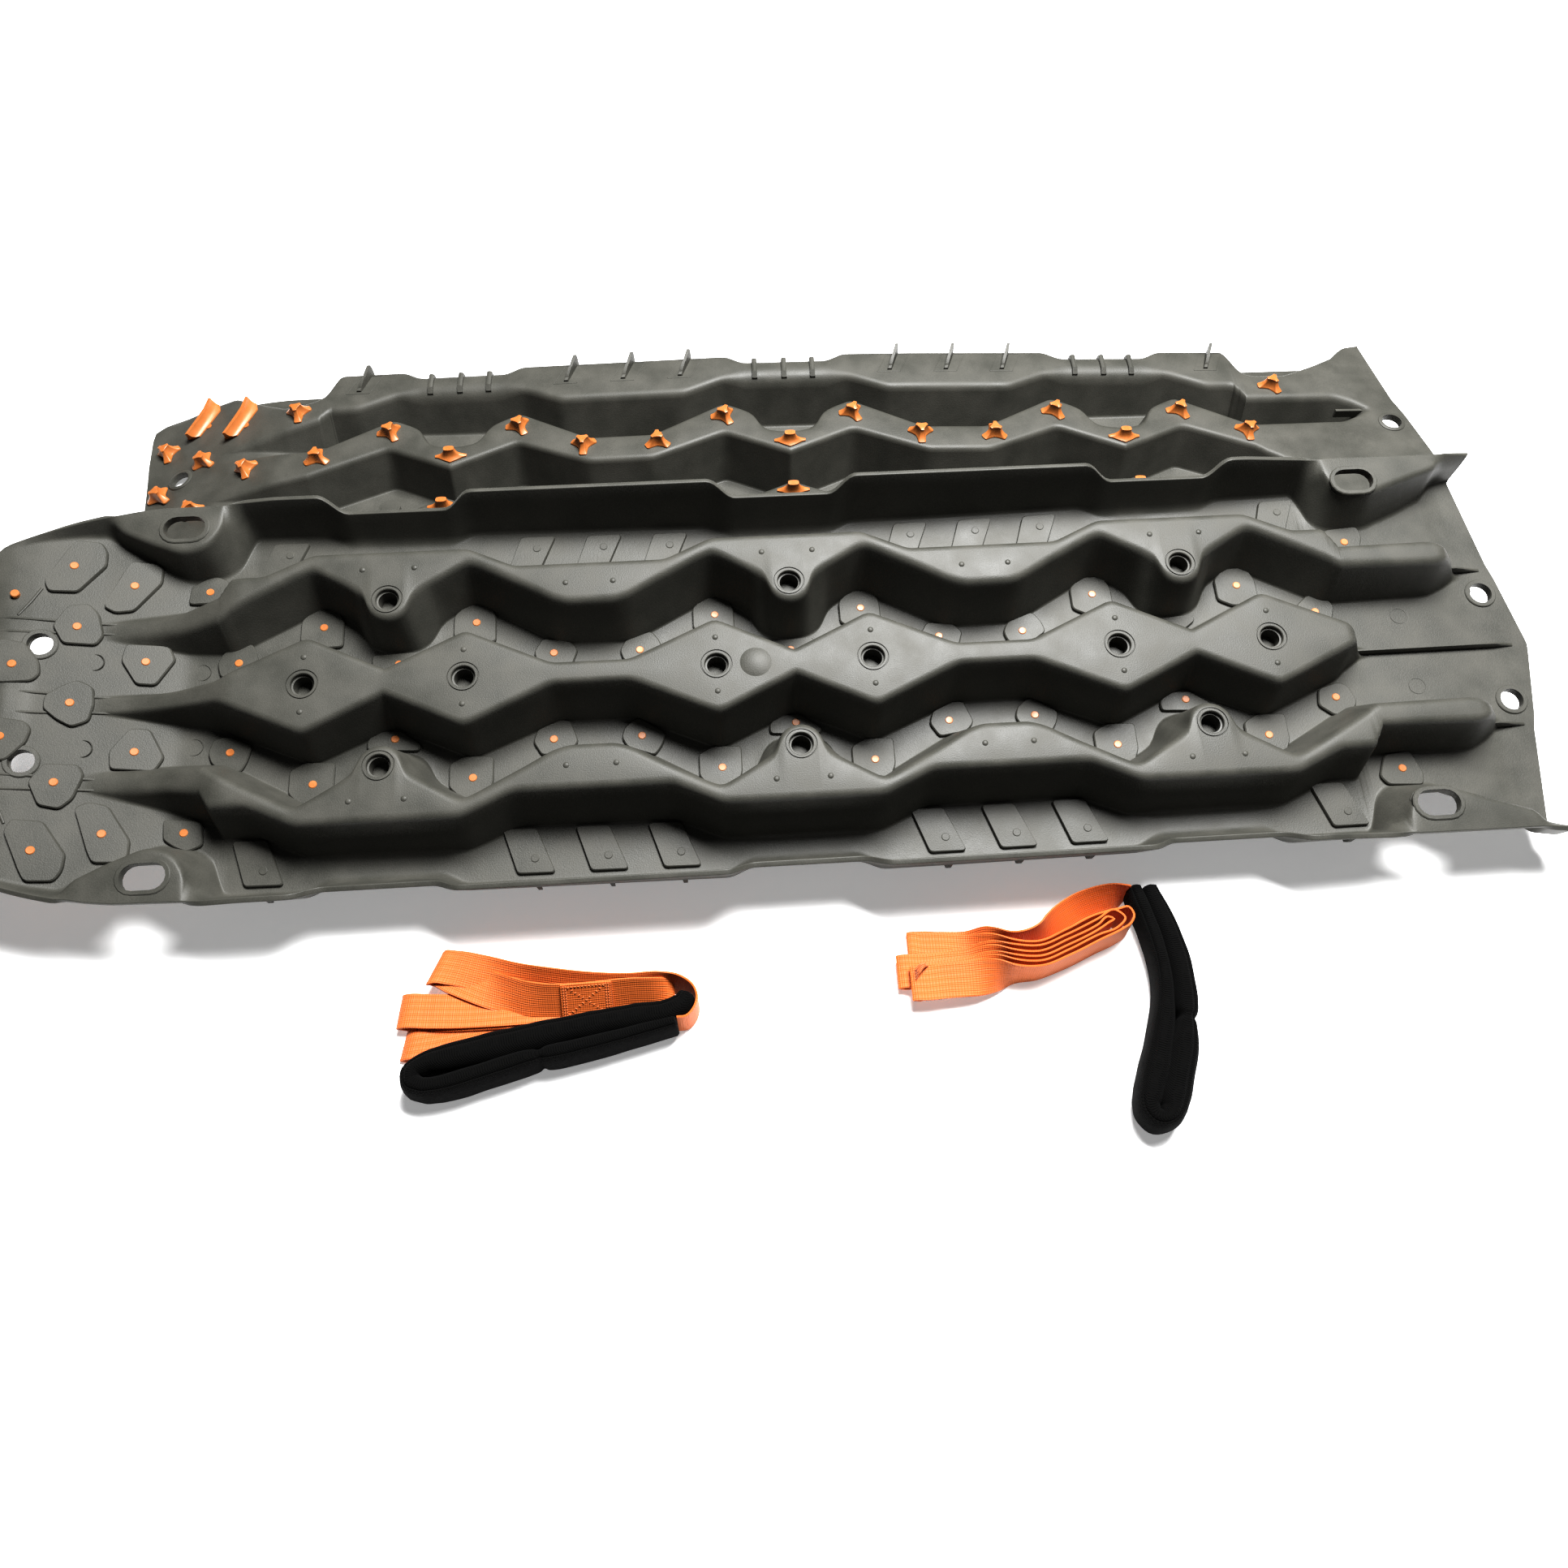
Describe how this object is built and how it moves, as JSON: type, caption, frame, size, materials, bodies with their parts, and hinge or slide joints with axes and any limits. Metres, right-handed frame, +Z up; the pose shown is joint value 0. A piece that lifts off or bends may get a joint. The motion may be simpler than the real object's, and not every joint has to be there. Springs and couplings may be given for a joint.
{
  "type": "tire traction board set",
  "caption": "Ribbed plastic traction boards with a scoop end and gripping teeth, stacked, with folded webbing leashes that have padded loop handles.",
  "frame": {"origin": "middle of the whole set's footprint, on the ground", "axes": "+X along the boards towards their flat tails, +Y from the front board to the rear board, +Z up"},
  "size_m": [1.163, 0.7318, 0.1235],
  "materials": {
    "charcoal_plastic": "satin, lightly grained",
    "orange_nylon": "satin",
    "orange_webbing": "woven flat webbing",
    "black_foam_sleeve": "soft, matte"
  },
  "bodies": {
    "rear_board_body": {"rear_board": "charcoal_plastic", "rear_tooth_left_01": "orange_nylon", "rear_tooth_left_02": "orange_nylon", "rear_tooth_left_03": "orange_nylon", "rear_tooth_left_04": "orange_nylon", "rear_tooth_left_05": "orange_nylon", "rear_tooth_left_06": "orange_nylon", "rear_tooth_left_07": "orange_nylon", "rear_tooth_left_08": "orange_nylon", "rear_tooth_left_09": "orange_nylon", "rear_tooth_left_10": "orange_nylon", "rear_tooth_left_11": "orange_nylon", "rear_tooth_left_12": "orange_nylon", "rear_tooth_left_13": "orange_nylon", "rear_tooth_middle_01": "orange_nylon", "rear_tooth_right_01": "orange_nylon", "rear_tooth_right_02": "orange_nylon", "rear_tooth_right_03": "orange_nylon", "rear_tooth_right_04": "orange_nylon", "rear_tooth_right_05": "orange_nylon", "rear_tooth_right_06": "orange_nylon", "rear_tooth_right_07": "orange_nylon", "rear_tooth_right_08": "orange_nylon", "rear_tooth_right_09": "orange_nylon", "rear_tooth_right_10": "orange_nylon", "rear_tooth_right_11": "orange_nylon", "rear_tooth_right_12": "orange_nylon", "rear_tooth_right_13": "orange_nylon"},
    "front_board_body": {"front_board": "charcoal_plastic", "front_tooth_left_01": "orange_nylon", "front_tooth_left_02": "orange_nylon", "front_tooth_left_03": "orange_nylon", "front_tooth_left_04": "orange_nylon", "front_tooth_left_05": "orange_nylon", "front_tooth_left_06": "orange_nylon", "front_tooth_left_07": "orange_nylon", "front_tooth_left_08": "orange_nylon", "front_tooth_left_09": "orange_nylon", "front_tooth_left_10": "orange_nylon", "front_tooth_left_11": "orange_nylon", "front_tooth_left_12": "orange_nylon", "front_tooth_left_13": "orange_nylon", "front_tooth_middle_01": "orange_nylon", "front_tooth_right_01": "orange_nylon", "front_tooth_right_02": "orange_nylon", "front_tooth_right_03": "orange_nylon", "front_tooth_right_04": "orange_nylon", "front_tooth_right_05": "orange_nylon", "front_tooth_right_06": "orange_nylon", "front_tooth_right_07": "orange_nylon", "front_tooth_right_08": "orange_nylon", "front_tooth_right_09": "orange_nylon", "front_tooth_right_10": "orange_nylon", "front_tooth_right_11": "orange_nylon", "front_tooth_right_12": "orange_nylon", "front_tooth_right_13": "orange_nylon"},
    "leash_left_body": {"leash_left_webbing": "orange_webbing", "leash_left_handle": "black_foam_sleeve"},
    "leash_right_body": {"leash_right_webbing": "orange_webbing", "leash_right_handle": "black_foam_sleeve"}
  },
  "joints": [
    {"name": "front_board_lift", "type": "slide", "parent": "rear_board_body", "child": "front_board_body", "axis": [0, 0, 1], "range_m": [0, 0.3]},
    {"name": "leash_left_lift", "type": "slide", "parent": "rear_board_body", "child": "leash_left_body", "axis": [0, 0, 1], "range_m": [0, 0.25]},
    {"name": "leash_right_lift", "type": "slide", "parent": "rear_board_body", "child": "leash_right_body", "axis": [0, 0, 1], "range_m": [0, 0.25]}
  ]
}
